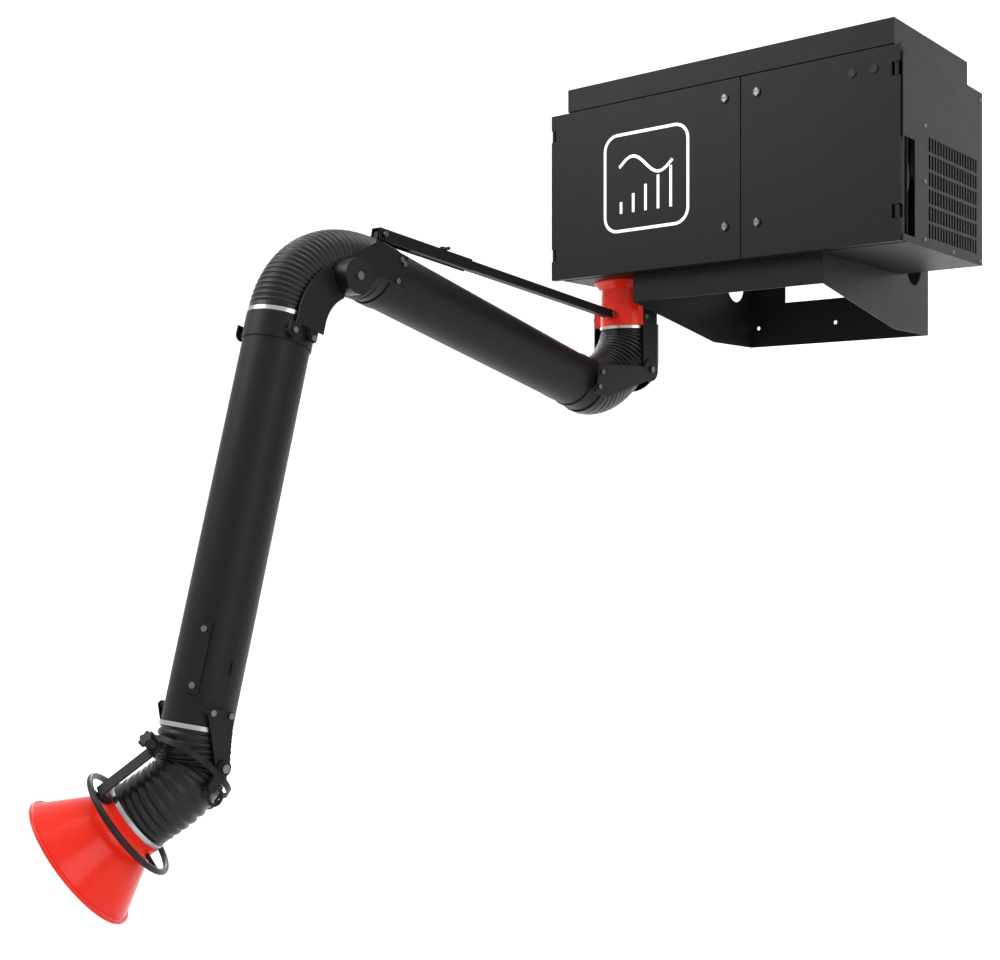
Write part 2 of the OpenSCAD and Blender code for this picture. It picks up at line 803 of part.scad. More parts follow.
// Guard: a half pipe behind the hose that turns under it with the straps
module shoulder_guard() color("dimgray") at_place([swivel_y, guard_bend_z]) difference() {
    union() {
        cylinder(r = guard_r + guard_t, h = guard_top - guard_bend_z);
        sphere(r = guard_r + guard_t);
    }
    cylinder(r = guard_r, h = guard_top - guard_bend_z + over);
    sphere(r = guard_r);
    translate([-2 * guard_r, guard_front - 4 * guard_r, -2 * guard_r]) cube(4 * guard_r);
}

// Ribbed hose: a short straight cuff at each end, and between them rings along a bent line,
// crests and valleys in turn, with its bore
function bend(a, b, c, d, t) = pow(1 - t, 3) * a + 3 * pow(1 - t, 2) * t * b
    + 3 * (1 - t) * t * t * c + t * t * t * d;
function lean(a, b, c, d, t) = pow(1 - t, 2) * (b - a) + 2 * (1 - t) * t * (c - b) + t * t * (d - c);
function unit_of(v) = v / norm(v);
function hoop(p, dir, r) = let (t = unit_of(dir), u = unit_of([1, 0, 0] - t[0] * t), v = cross(t, u))
    [for (k = [0:hose_sides - 1]) let (a = (k + 1 / 2) * 360 / hose_sides) p + r * (cos(a) * u + sin(a) * v)];
function strip(a, b) = [for (k = [0:hose_sides - 1]) let (m = (k + 1) % hose_sides)
    each [[a + k, b + m, a + m], [a + k, b + k, b + m]]];

module hose(a, a_dir, b, b_dir, pull, r, ribs) {
    da = unit_of(a_dir);
    db = unit_of(b_dir);
    p = [a + cuff * da, a + pull[0] * da, b - pull[1] * db, b - cuff * db];
    rows = 2 * ribs + 1;
    low = r * (1 - rib_depth_share);
    bore = r * hose_bore_share;
    outer = concat([hoop(a, da, low)], [for (i = [0:rows - 1]) let (t = i / (rows - 1))
        hoop(bend(p[0], p[1], p[2], p[3], t), lean(p[0], p[1], p[2], p[3], t), i % 2 == 0 ? low : r)],
        [hoop(b, db, low)]);
    inner = concat([hoop(b, db, bore)], [for (i = [rows - 1:-1:0]) let (t = i / (rows - 1))
        hoop(bend(p[0], p[1], p[2], p[3], t), lean(p[0], p[1], p[2], p[3], t), bore)],
        [hoop(a, da, bore)]);
    rings = concat(outer, inner);
    count = len(rings);
    polyhedron(points = [for (ring = rings) each ring],
        faces = [for (i = [0:count - 1]) each strip(i * hose_sides, ((i + 1) % count) * hose_sides)]);
}

function flat3(p) = [0, p[0], p[1]];
module arm_hose(a, a_dir, b, b_dir, pull, r, ribs) translate([swivel_x, 0, 0])
    hose(flat3(a), flat3(a_dir), flat3(b), flat3(b_dir), pull, r, ribs);

module shoulder_hose() color("black")
    arm_hose([swivel_y, collar_low_z - clamp_h], [0, -1], upper_start - gap * upper_dir, upper_dir,
        shoulder_pull, shoulder_hose_r, shoulder_ribs);

// Tubes of the arm
module tube(l) difference() {
    cylinder(r = tube_r, h = l);
    translate([0, 0, -over]) cylinder(r = tube_bore_r, h = l + 2 * over);
}

module upper_tube() color("dimgray") on_upper(upper_start) tube(upper_len);

// Bracket at the root of the upper tube: a band and two plates to the pivots
shoulder_back = (shoulder - upper_start) * upper_dir;
shoulder_across = (shoulder - upper_start) * upper_up;
shoulder_local = [shoulder_across, shoulder_back];
module shoulder_bracket() color("dimgray") on_upper(upper_start) difference() {
    union() {
        cylinder(r = tube_r + band_t, h = shoulder_band);
        both_sides() {
            plate_x([outer_x, outer_x + plate_s]) {
                translate(shoulder_local) circle(r = shoulder_end_r);
                hull() {
                    translate(shoulder_local - [shoulder_tip_in, 0]) circle(r = shoulder_tip_r, $fn = fine);
                    translate([shoulder_arm_up[0], 0])
                        square([shoulder_arm_up[1] - shoulder_arm_up[0], shoulder_band]);
                }
            }
            for (i = [0, 1]) translate([0, shoulder_bolt_up[i], shoulder_bolts_at[i]])
                rod_x([0, outer_x + over], small_head_d);
        }
    }
    translate([0, 0, -over]) cylinder(r = tube_r + fit, h = shoulder_band + 2 * over);
    both_sides() translate([0, shoulder_across, shoulder_back])
        rod_x([outer_x - over, outer_x + plate_s + over], pivot_d + 2 * fit);
}

module elbow_bracket() color("dimgray") on_upper(upper_end) difference() {
    union() {
        translate([0, 0, -elbow_band]) cylinder(r = tube_r + band_t, h = elbow_band);
        both_sides() {
            plate_x(elbow_plate_x) {
                plate_2d(elbow_plate_up, elbow_plate_z);
                hull() {
                    translate([-elbow_down, elbow_out]) circle(r = elbow_end_r, $fn = fine);
                    plate_2d([elbow_plate_up[0], -elbow_plate_up[0]], [elbow_neck_z, elbow_plate_z[1]]);
                }
            }
            for (i = [0:len(elbow_bolts_up) - 1]) translate([0, elbow_bolts_up[i], elbow_bolts_at[i]])
                rod_x([0, elbow_plate_x[0] + over], small_head_d);
        }
        translate([0, strut_top, -strut_back]) rod_x([-ear_w / 2, ear_w / 2], 2 * lug_r);
        block([-ear_w / 2, ear_w / 2], [0, strut_top], [-strut_back - lug_r, -strut_back + lug_r]);
    }
    translate([0, 0, -elbow_band - over]) cylinder(r = tube_r + fit, h = elbow_band + lug_r + 2 * over);
    translate([0, strut_top, -strut_back]) rod_x([-ear_w, ear_w], strut_pin_d);
    both_sides() translate([0, -elbow_down, elbow_out])
        rod_x([elbow_plate_x[0] - over, elbow_plate_x[1] + over], pivot_d);
}

// Pivots of the elbow, bolts of the upper arm's plates and the strut's outer pin
module elbow_pivots() color("gray") {
    on_upper(upper_end) both_sides() {
        translate([0, -elbow_down, elbow_out]) {
            rod_x([elbow_plate_x[0], drum_x[0]], pivot_d);
            rod_x(drum_x, 2 * disc_r);
            head_x(drum_x[1], bolt_head_d, bolt_head_h);
        }
        for (i = [0:len(elbow_bolts_up) - 1]) translate([0, elbow_bolts_up[i], elbow_bolts_at[i]])
            head_x(elbow_plate_x[1], small_head_d, small_head_h);
    }
    on_upper(upper_start) both_sides() for (i = [0, 1])
        translate([0, shoulder_bolt_up[i], shoulder_bolts_at[i]])
            head_x(outer_x + plate_s, small_head_d, small_head_h);
    at_place(strut_end) strut_pin();
}

// Telescopic strut: a box inside a channel that is open below
module strut_inner() color("dimgray") on_strut(strut_root) difference() {
    union() {
        block([-inner_w / 2, inner_w / 2], [-inner_w / 2, inner_w / 2], [0, inner_len]);
        rod_x([-inner_w / 2, inner_w / 2], inner_w);
    }
    block([-inner_w / 2 + inner_wall, inner_w / 2 - inner_wall], [-inner_w, inner_w],
        [-inner_w, lug_r + inner_wall]);
    block([-inner_w / 2 + inner_wall, inner_w / 2 - inner_wall],
        [-inner_w / 2 + inner_wall, inner_w / 2 - inner_wall], [0, inner_len + over]);
    rod_x([-inner_w, inner_w], strut_pin_d + 2 * fit);
}

module strut_channel() color("dimgray") on_strut(strut_end) difference() {
    block([-channel_w / 2, channel_w / 2], [-channel_h / 2, channel_h / 2], [-channel_len, end_over]);
    block([-channel_w / 2 + channel_t, channel_w / 2 - channel_t],
        [-channel_h / 2 - over, channel_h / 2 - channel_t], [-channel_len - over, end_over + over]);
    rod_x([-channel_w, channel_w], strut_pin_d + 2 * fit);
}

// Clamp lever on top of the channel
module strut_lever() color("black") on_strut(strut_end) translate([0, channel_h / 2 + gap, -lever_at]) {
    rod_y([0, lever_h], 2 * lever_d);
    translate([-lever_len / 2, lever_h / 2, 0]) rotate([0, 90, 0]) cylinder(d = lever_d, h = lever_len);
}

module elbow_hose() color("black")
    arm_hose(upper_end, upper_dir, lower_start - (gap + wrist_clamp_h) * lower_dir, lower_dir,
        elbow_pull, elbow_hose_r, elbow_ribs);

module lower_tube() color("dimgray") on_lower(lower_start) difference() {
    tube(lower_len);
    translate([0, 0, damper_at]) rod_x([-tube_d, tube_d], damper_shaft_d + 2 * fit);
}

// Curved arms from the elbow's discs to a band on the lower tube
module elbow_arms() color("dimgray") on_lower(elbow) difference() {
    union() {
        translate([0, lower_out, lower_along]) cylinder(r = tube_r + band_t, h = arm_tail);
        both_sides() {
            plate_x(elbow_arm_x) arm_outline();
            for (u = arm_bolts_out) translate([0, u, arm_bolt_at])
                rod_x([0, elbow_arm_x[0] + over], small_head_d);
        }
    }
    translate([0, lower_out, lower_along - over]) cylinder(r = tube_r + fit, h = arm_tail + 2 * over);
    both_sides() rod_x([elbow_arm_x[0] - over, elbow_arm_x[1] + over], pivot_d + 2 * fit);
}

module arm_outline() {
    circle(r = disc_r - over);
    intersection() {
        difference() {
            translate(arc_c) circle(r = arc_r[1]);
            translate(arc_c) circle(r = arc_r[0]);
        }
        square([2 * arc_r[1], arc_c[1]]);
    }
    plate_2d([arc_c[0] + arc_r[0], arc_c[0] + arc_r[1]], [arc_c[1] - over, arc_c[1] + arm_end]);
    for (i = [0, 1]) translate([arm_bolts_out[i], 0]) {
        translate([0, arm_bolt_at]) circle(r = arm_pads_r[i]);
        plate_2d([-arm_pads_r[i], arm_pads_r[i]], [arc_c[1] + arm_end - over, arm_bolt_at]);
    }
}

// Hose clamps at both ends of the lower tube
module lower_arm_clamps() color("silver") {
    on_lower(lower_start) ring_z([-wrist_clamp_h, 0], elbow_hose_r + over, tube_bore_r);
    on_lower(lower_end) ring_z([-wrist_clamp_h, 0], tube_r + band_t, tube_r + fit);
}

// Bolts of the lower arm: curved arms, grip strip, wrist straps and their pivots
module lower_arm_bolts() color("silver") {
    on_lower(elbow) both_sides() for (u = arm_bolts_out) translate([0, u, arm_bolt_at])
        head_x(elbow_arm_x[1], small_head_d, small_head_h);
    on_lower(lower_start) rotate([0, 0, grip_strip_turn]) for (z = grip_bolts_at)
        translate([0, 0, z]) head_x(tube_r + grip_strip_t, small_head_d, small_head_h);
    on_lower(lower_end) both_sides() {
        for (u = wrist_bolts_out) translate([0, u, wrist_bolts_at])
            head_x(wrist_strap_x[1], small_head_d, small_head_h);
        translate([0, -wrist_in, wrist_along]) {
            rod_x([wrist_strap_x[0], hoop_x[1] + gap], pivot_d);
            head_x(hoop_x[1] + gap, bolt_head_d, bolt_head_h);
        }
    }
}

module grip_strip() color("black") on_lower(lower_start) rotate([0, 0, grip_strip_turn]) {
    difference() {
        block([tube_bore_r, tube_r + grip_strip_t], [-grip_strip_w / 2, grip_strip_w / 2], grip_strip_at);
        translate([0, 0, grip_strip_at[0] - over])
            cylinder(r = tube_r + fit, h = grip_strip_at[1] - grip_strip_at[0] + 2 * over);
    }
}

// Damper: a flap in the tube on a shaft with a lever outside
module damper() color("gray") on_lower(lower_start) translate([0, 0, damper_at]) {
    intersection() {
        rotate([90, 0, 0]) translate([0, 0, -damper_gap])
            cylinder(r = tube_bore_r - damper_gap, h = 2 * damper_gap);
        cube(2 * tube_bore_r - 2 * damper_gap, center = true);
    }
    rod_x([-tube_r + gap, tube_r + gap + lever_t], damper_shaft_d);
    block([tube_r + gap, tube_r + gap + lever_t], [-lever_w / 2, lever_w / 2], [-lever_w / 2, lever_l]);
}

// Wrist: straps on the lower tube, a hoop between two crossed axes, and the hood's straps
module wrist_straps() color("dimgray") on_lower(lower_end) both_sides() {
    difference() {
        plate_x(wrist_strap_x) hull() {
            translate([-wrist_in, wrist_along]) circle(r = wrist_end_r, $fn = fine);
            for (u = wrist_bolts_out) translate([u, wrist_bolts_at]) circle(r = wrist_pad_r, $fn = fine);
        }
        translate([0, -wrist_in, wrist_along])
            rod_x([wrist_strap_x[0] - over, wrist_strap_x[1] + over], pivot_d);
    }
    difference() {
        for (u = wrist_bolts_out) translate([0, u, wrist_bolts_at])
            rod_x([tube_bore_r / 2, wrist_strap_x[0]], small_head_d);
        translate([0, 0, wrist_bolts_at - small_head_d]) cylinder(r = tube_r + fit, h = 2 * small_head_d);
    }
}

// Middle of the wrist's hoses
link_dir = [-sin(wrist_tilt), -cos(wrist_tilt)];
link_place = flat3(wrist) + link_len * flat3(link_dir);
hood_dir = [-sin(hood_turn), cos(hood_turn) * link_dir[0], cos(hood_turn) * link_dir[1]];
middle_dir = flat3(link_dir);
module wrist_hose() color("black") translate([swivel_x, 0, 0])
    hose(flat3(lower_end), flat3(lower_dir), link_place - gap * middle_dir, middle_dir,
        wrist_pull, hose_r, wrist_ribs);

module hood_hose() color("black") translate([swivel_x, 0, 0])
    hose(link_place, middle_dir, link_place + hood_hose_end * hood_dir, hood_dir,
        hood_pull, hose_r, hood_ribs);

// A hoop of two half rings and two straight bars, stretched to the front
module long_hoop() {
    for (s = [0, 1]) translate([0, s * hoop_shift, 0]) rotate([0, 0, s * 180 - 180])
        rotate_extrude(angle = 180) translate([hoop_in, hoop_z[0]])
            square([hoop_x[1] - hoop_in, hoop_z[1] - hoop_z[0]]);
    both_sides() block([hoop_in, hoop_x[1]], [0, hoop_shift], hoop_z);
}

module gimbal() color("dimgray") on_link() {
    difference() {
        union() {
            long_hoop();
            both_sides() rod_x(hoop_x, 2 * wrist_end_r);
            translate([0, 0, link_len]) hoop_ears();
            plate_x(hoop_x) hull() {
                circle(r = link_root_r, $fn = fine);
                translate(link_tip) circle(r = link_tip_r, $fn = fine);
            }
        }
        both_sides() rod_x([hoop_x[0] - over, hoop_x[1] + over], pivot_d + 2 * fit);
        translate([0, 0, link_len]) rod_y([-2 * hoop_x[1], 2 * hoop_x[1]], pivot_d + 2 * fit);
    }
    translate([(hoop_x[0] + hoop_x[1]) / 2, loop_at[0], loop_at[1]]) rotate([0, 90, 0])
        rotate_extrude() translate([loop_r, 0]) circle(d = loop_d, $fn = fine);
}

module hoop_ears() {
    rod_y([hoop_x[0] + hoop_shift, hoop_x[1] + hoop_shift], 2 * wrist_end_r);
    rod_y([-hoop_x[1], -hoop_x[0]], 2 * wrist_end_r);
}

// Clamp knob: a lobed head with its bolt
module wrist_knob() color("black") on_link() translate([0, hoop_shift, link_len]) {
    rod_y([hoop_x[1] - bolt_in, hoop_x[1] + gap + over], pivot_d);
    rod_y([hoop_x[1] + gap, hoop_x[1] + gap + knob_l], knob_d - lobe_d);
    translate([0, hoop_x[1] + gap + knob_l / 2, 0]) rotate([-90, 0, 0]) for (i = [0:knob_lobes - 1])
        rotate([0, 0, i * 360 / knob_lobes]) translate([(knob_d - lobe_d) / 2, 0, 0])
            cylinder(d = lobe_d, h = knob_l / 2, $fn = fine);
}

module hood_straps() color("dimgray") on_hood() difference() {
    union() {
        hood_strap(hoop_shift);
        mirror([0, 1, 0]) hood_strap(0);
    }
    translate([0, 0, collar_at]) cylinder(r = hood_collar_r, h = hood_collar_h);
}

module hood_strap(shift) {
    strap_y = [wrist_strap_x[0] + shift, wrist_strap_x[1] + shift];
    rod_y(strap_y, 2 * wrist_end_r);
    rod_y([strap_y[0], hoop_x[0] + bolt_in + shift], pivot_d);
    block([-wrist_end_r, wrist_end_r], strap_y, [0, collar_at + hood_collar_h / 2]);
    block([-wrist_end_r, wrist_end_r], [hood_collar_r - hood_wall, strap_y[0] + over],
        [collar_at + over, collar_at + hood_collar_h / 2]);
}

module hood_clamp() color("silver") on_hood()
    ring_z([hood_clamp_at, hood_clamp_at + hood_clamp_h], hood_collar_r, hose_r + fit);

// Hood: collar, cone and rolled rim
module hood() color("red") on_hood() translate([0, 0, collar_at]) rotate_extrude() {
    rim_r = hood_d / 2;
    polygon([
        [hood_collar_r - hood_wall, 0], [hood_collar_r, 0], [hood_collar_r, hood_collar_h],
        [rim_r - rim_lip, hood_collar_h + cone_h], [rim_r - rim_lip - hood_wall, hood_collar_h + cone_h],
        [hood_collar_r - hood_wall, hood_collar_h]
    ]);
    translate([rim_r - rim_lip, hood_collar_h + cone_h]) circle(r = rim_lip, $fn = fine);
}

// Ring handle on spokes
module ring_handle() color("black") on_hood() translate([0, 0, ring_at]) difference() {
    union() {
        rotate_extrude() translate([ring_d / 2, 0]) circle(d = ring_t, $fn = fine);
        for (i = [0:spokes - 1]) rotate([0, 0, 90 + i * 360 / spokes])
            rod_x([hood_collar_r - hood_wall, ring_d / 2], spoke_d);
    }
    translate([0, 0, collar_at - ring_at]) cylinder(r = hood_collar_r, h = hood_collar_h);
    translate([0, 0, collar_at + hood_collar_h - ring_at])
        cylinder(r1 = hood_collar_r, r2 = hood_d / 2 - rim_lip, h = cone_h);
}

wall_plate();
left_cheek();
right_cheek();
front_strip();
bracket_bolts();
carcass();
left_side_panel();
right_side_panel();
top_cover();
panel_screws();
door_seals();
hinge_pins();
partition();
filter_rails();
filter_case();
filter_media();
prefilter();
fan_scroll();
fan_motor();
motor_stand();
control_box();
impeller();
left_door();
right_door();
blanking_plugs();
latch_left_low();
latch_left_high();
latch_right_low();
latch_right_high();
inlet_collar();
swivel_sleeve();
swivel_collar();
shoulder_straps();
swivel_bolts();
shoulder_clamp();
shoulder_guard();
shoulder_hose();
upper_tube();
shoulder_bracket();
elbow_bracket();
elbow_pivots();
strut_channel();
strut_inner();
strut_lever();
elbow_hose();
lower_tube();
elbow_arms();
lower_arm_clamps();
lower_arm_bolts();
grip_strip();
damper();
wrist_straps();
wrist_hose();
gimbal();
wrist_knob();
hood_hose();
hood_straps();
hood_clamp();
hood();
ring_handle();
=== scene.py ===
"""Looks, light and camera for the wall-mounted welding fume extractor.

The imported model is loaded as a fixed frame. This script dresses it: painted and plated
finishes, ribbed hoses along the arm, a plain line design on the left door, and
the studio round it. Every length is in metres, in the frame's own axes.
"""

import json
import logging
import math
from dataclasses import dataclass, field
from enum import Enum
from typing import Callable, Iterable

import bmesh
import bpy
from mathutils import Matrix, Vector

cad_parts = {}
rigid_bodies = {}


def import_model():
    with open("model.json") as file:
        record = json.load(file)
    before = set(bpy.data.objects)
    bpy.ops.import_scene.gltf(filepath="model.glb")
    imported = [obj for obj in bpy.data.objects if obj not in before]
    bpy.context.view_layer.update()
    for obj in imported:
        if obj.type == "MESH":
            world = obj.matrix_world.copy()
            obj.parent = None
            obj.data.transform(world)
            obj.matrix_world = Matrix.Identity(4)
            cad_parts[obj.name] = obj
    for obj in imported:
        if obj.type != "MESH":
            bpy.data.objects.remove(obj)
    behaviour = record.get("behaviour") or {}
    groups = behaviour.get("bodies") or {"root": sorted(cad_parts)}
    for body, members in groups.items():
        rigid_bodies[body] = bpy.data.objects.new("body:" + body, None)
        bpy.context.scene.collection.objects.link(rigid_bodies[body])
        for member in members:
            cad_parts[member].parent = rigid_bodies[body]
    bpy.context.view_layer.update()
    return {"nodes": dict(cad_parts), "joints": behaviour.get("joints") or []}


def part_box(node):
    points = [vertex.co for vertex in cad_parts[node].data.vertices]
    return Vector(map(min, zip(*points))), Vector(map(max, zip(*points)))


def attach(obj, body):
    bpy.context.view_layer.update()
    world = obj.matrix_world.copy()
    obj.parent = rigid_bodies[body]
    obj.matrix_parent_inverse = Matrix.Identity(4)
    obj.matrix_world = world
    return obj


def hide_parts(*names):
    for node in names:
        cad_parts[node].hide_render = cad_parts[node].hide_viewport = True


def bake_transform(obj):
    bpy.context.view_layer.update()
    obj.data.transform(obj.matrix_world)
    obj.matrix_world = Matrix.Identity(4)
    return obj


for leftover in list(bpy.data.objects):
    bpy.data.objects.remove(leftover, do_unlink=True)
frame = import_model()

LOG = logging.getLogger("fume_extractor")

# Finishes


class Finish(Enum):
    """The finishes of the object and of the studio."""

    BLACK_PAINT = "black_paint"
    RED_PAINT = "red_paint"
    ZINC = "zinc"
    DARK_STEEL = "dark_steel"
    GREY_STEEL = "grey_steel"
    GALVANISED = "galvanised"
    BLACK_PLASTIC = "black_plastic"
    HOSE_RUBBER = "hose_rubber"
    SEAL_RUBBER = "seal_rubber"
    FILTER_PAPER = "filter_paper"
    ALUMINIUM = "aluminium"
    WHITE_PRINT = "white_print"
    STUDIO = "studio"


@dataclass(frozen=True)
class Look:
    """What sets one finish apart.

    Attributes:
        color: Base colour, linear RGB.
        roughness: Middle roughness.
        metallic: 1 for bare metal, 0 for paint, plastic and rubber.
        coat: Weight of a clear coat.
        grain: Size of the surface's grain, in metres.
        bump: Depth of the grain, in metres.
        spread: How far the grain moves the roughness up and down.
        brushed: Whether the grain runs along one axis.
        edge: Radius of the softened edges, in metres.
        specular: Strength of the surface's own shine.
    """

    color: tuple[float, float, float]
    roughness: float
    metallic: float = 0.0
    coat: float = 0.0
    grain: float = 0.002
    bump: float = 0.0
    spread: float = 0.05
    brushed: bool = False
    edge: float = 0.0008
    specular: float = 0.5


LOOKS: dict[Finish, Look] = {
    Finish.BLACK_PAINT: Look(
        (0.0042, 0.0044, 0.0046), 0.46, grain=0.0012, bump=0.00003, edge=0.0015, specular=0.13,
    ),
    Finish.RED_PAINT: Look(
        (0.50, 0.011, 0.003),
        0.28, coat=0.08, grain=0.003, bump=0.00002, edge=0.002, specular=0.12,
    ),
    Finish.ZINC: Look((0.34, 0.34, 0.335), 0.28, metallic=1.0, grain=0.0008, bump=0.00001),
    Finish.DARK_STEEL: Look((0.12, 0.12, 0.12), 0.34, metallic=1.0, grain=0.0008, bump=0.00001),
    Finish.GREY_STEEL: Look((0.16, 0.17, 0.18), 0.45, grain=0.002, bump=0.00004),
    Finish.GALVANISED: Look((0.48, 0.50, 0.51), 0.38, metallic=1.0, grain=0.012, spread=0.14),
    Finish.BLACK_PLASTIC: Look(
        (0.0035, 0.0035, 0.0038), 0.36, grain=0.0009, bump=0.00003, specular=0.18,
    ),
    Finish.HOSE_RUBBER: Look(
        (0.0032, 0.0032, 0.0034), 0.38, grain=0.0015, bump=0.00005, edge=0.0, specular=0.2,
    ),
    Finish.SEAL_RUBBER: Look((0.009, 0.009, 0.009), 0.8, grain=0.001, bump=0.0001),
    Finish.FILTER_PAPER: Look((0.78, 0.77, 0.72), 0.9, grain=0.0015, bump=0.00008),
    Finish.ALUMINIUM: Look((0.72, 0.73, 0.74), 0.3, metallic=1.0, grain=0.001, brushed=True),
    Finish.WHITE_PRINT: Look((0.80, 0.80, 0.80), 0.45, grain=0.001, edge=0.0),
}


class ShaderGroups:
    """Node groups shared by the finishes; each is made once and used by every material."""

    GRAIN_DETAIL = 3.0
    DRIFT_DETAIL = 2.0
    DRIFT_RATE = 0.02

    def __init__(self) -> None:
        self._grain: bpy.types.NodeTree | None = None

    def grain(self) -> bpy.types.NodeTree:
        """A group that gives a fine grain and a slow drift, both from 0 to 1.

        Returns:
            The group, with inputs Size and Stretch and outputs Grain and Drift.
        """
        if self._grain is None:
            self._grain = self._make_grain()
        return self._grain

    @staticmethod
    def _make_grain() -> bpy.types.NodeTree:
        tree = bpy.data.node_groups.new("surface grain", "ShaderNodeTree")
        face = tree.interface
        size = face.new_socket("Size", in_out="INPUT", socket_type="NodeSocketFloat")
        size.default_value, size.min_value = 0.002, 0.0001
        stretch = face.new_socket("Stretch", in_out="INPUT", socket_type="NodeSocketVector")
        stretch.default_value = (1.0, 1.0, 1.0)
        for name in ("Grain", "Drift"):
            face.new_socket(name, in_out="OUTPUT", socket_type="NodeSocketFloat")
        nodes, links = tree.nodes, tree.links
        given, out = nodes.new("NodeGroupInput"), nodes.new("NodeGroupOutput")
        place = nodes.new("ShaderNodeTexCoord")
        turn = nodes.new("ShaderNodeVectorMath")
        turn.operation = "MULTIPLY"
        links.new(place.outputs["Object"], turn.inputs[0])
        links.new(given.outputs["Stretch"], turn.inputs[1])
        rate = nodes.new("ShaderNodeMath")
        rate.operation = "DIVIDE"
        rate.inputs[0].default_value = 1.0
        links.new(given.outputs["Size"], rate.inputs[1])
        slow = nodes.new("ShaderNodeMath")
        slow.operation = "MULTIPLY"
        slow.inputs[1].default_value = ShaderGroups.DRIFT_RATE
        links.new(rate.outputs[0], slow.inputs[0])
        for scale, detail, name in (
            (rate, ShaderGroups.GRAIN_DETAIL, "Grain"), (slow, ShaderGroups.DRIFT_DETAIL, "Drift"),
        ):
            noise = nodes.new("ShaderNodeTexNoise")
            noise.inputs["Detail"].default_value = detail
            links.new(turn.outputs[0], noise.inputs["Vector"])
            links.new(scale.outputs[0], noise.inputs["Scale"])
            links.new(noise.outputs["Fac"], out.inputs[name])
        return tree


class FinishShop:
    """Makes one material for each finish."""

    COAT_ROUGHNESS = 0.12
    BRUSHED_STRETCH = (1.0, 0.06, 1.0)
    PLAIN_STRETCH = (1.0, 1.0, 1.0)
    TINT = (0.9, 1.1)
    BEVEL_SAMPLES = 4
    STUDIO_COLOR = (0.9, 0.9, 0.9, 1.0)
    STUDIO_ROUGHNESS = 0.9

    def __init__(self, groups: ShaderGroups) -> None:
        self.groups = groups
        self._made: dict[Finish, bpy.types.Material] = {}

    def material(self, finish: Finish) -> bpy.types.Material:
        """The finish's material, made on first use.

        Args:
            finish: Which finish.

        Returns:
            The material.
        """
        if finish not in self._made:
            maker = self._studio if finish is Finish.STUDIO else self._surface
            self._made[finish] = maker(finish)
        return self._made[finish]

    def paint(self, obj: bpy.types.Object, finish: Finish) -> None:
        """Gives the whole object one finish."""
        obj.data.materials.clear()
        obj.data.materials.append(self.material(finish))

    def paint_where(self, obj: bpy.types.Object, finish: Finish, test: Callable[[Vector], bool]) -> int:
        """Gives the faces whose middle passes a test a second finish.

        Args:
            obj: The object.
            finish: The second finish.
            test: Takes a face's middle in the frame's axes.

        Returns:
            How many faces took it.
        """
        obj.data.materials.append(self.material(finish))
        slot, count = len(obj.data.materials) - 1, 0
        for face in obj.data.polygons:
            if test(obj.matrix_world @ face.center):
                face.material_index = slot
                count += 1
        return count

    def _surface(self, finish: Finish) -> bpy.types.Material:
        look = LOOKS[finish]
        mat = bpy.data.materials.new(finish.value)
        mat.use_nodes = True
        mat.diffuse_color = (*look.color, 1.0)
        nodes, links = mat.node_tree.nodes, mat.node_tree.links
        shader = nodes["Principled BSDF"]
        shader.inputs["Metallic"].default_value = look.metallic
        shader.inputs["Coat Weight"].default_value = look.coat
        shader.inputs["Specular IOR Level"].default_value = look.specular
        shader.inputs["Coat Roughness"].default_value = self.COAT_ROUGHNESS
        grain = nodes.new("ShaderNodeGroup")
        grain.node_tree = self.groups.grain()
        grain.inputs["Size"].default_value = look.grain
        stretch = self.BRUSHED_STRETCH if look.brushed else self.PLAIN_STRETCH
        grain.inputs["Stretch"].default_value = stretch
        self._spread(nodes, links, grain, shader, look)
        self._tint(nodes, links, grain, shader, look)
        self._relief(nodes, links, grain, shader, look)
        return mat

    @staticmethod
    def _spread(nodes, links, grain, shader, look: Look) -> None:
        """The slow drift moves the roughness a little."""
        span = nodes.new("ShaderNodeMapRange")
        span.inputs["To Min"].default_value = look.roughness - look.spread
        span.inputs["To Max"].default_value = look.roughness + look.spread
        links.new(grain.outputs["Drift"], span.inputs["Value"])
        links.new(span.outputs["Result"], shader.inputs["Roughness"])

    @staticmethod
    def _tint(nodes, links, grain, shader, look: Look) -> None:
        """The slow drift darkens and lightens the colour a little."""
        mix = nodes.new("ShaderNodeMix")
        mix.data_type = "RGBA"
        for end, share in zip("AB", FinishShop.TINT):
            mix.inputs[end].default_value = (*(min(1.0, share * c) for c in look.color), 1.0)
        links.new(grain.outputs["Drift"], mix.inputs["Factor"])
        links.new(mix.outputs["Result"], shader.inputs["Base Color"])

    @staticmethod
    def _relief(nodes, links, grain, shader, look: Look) -> None:
        """The grain stands out a little, and edges are softened."""
        normal = None
        if look.edge > 0:
            bevel = nodes.new("ShaderNodeBevel")
            bevel.samples = FinishShop.BEVEL_SAMPLES
            bevel.inputs["Radius"].default_value = look.edge
            normal = bevel.outputs["Normal"]
        if look.bump > 0:
            bump = nodes.new("ShaderNodeBump")
            bump.inputs["Distance"].default_value = look.bump
            bump.inputs["Strength"].default_value = 1.0
            links.new(grain.outputs["Grain"], bump.inputs["Height"])
            if normal is not None:
                links.new(normal, bump.inputs["Normal"])
            normal = bump.outputs["Normal"]
        if normal is not None:
            links.new(normal, shader.inputs["Normal"])

    @staticmethod
    def _studio(finish: Finish) -> bpy.types.Material:
        mat = bpy.data.materials.new(finish.value)
        mat.use_nodes = True
        shader = mat.node_tree.nodes["Principled BSDF"]
        shader.inputs["Base Color"].default_value = FinishShop.STUDIO_COLOR
        shader.inputs["Roughness"].default_value = FinishShop.STUDIO_ROUGHNESS
        return mat


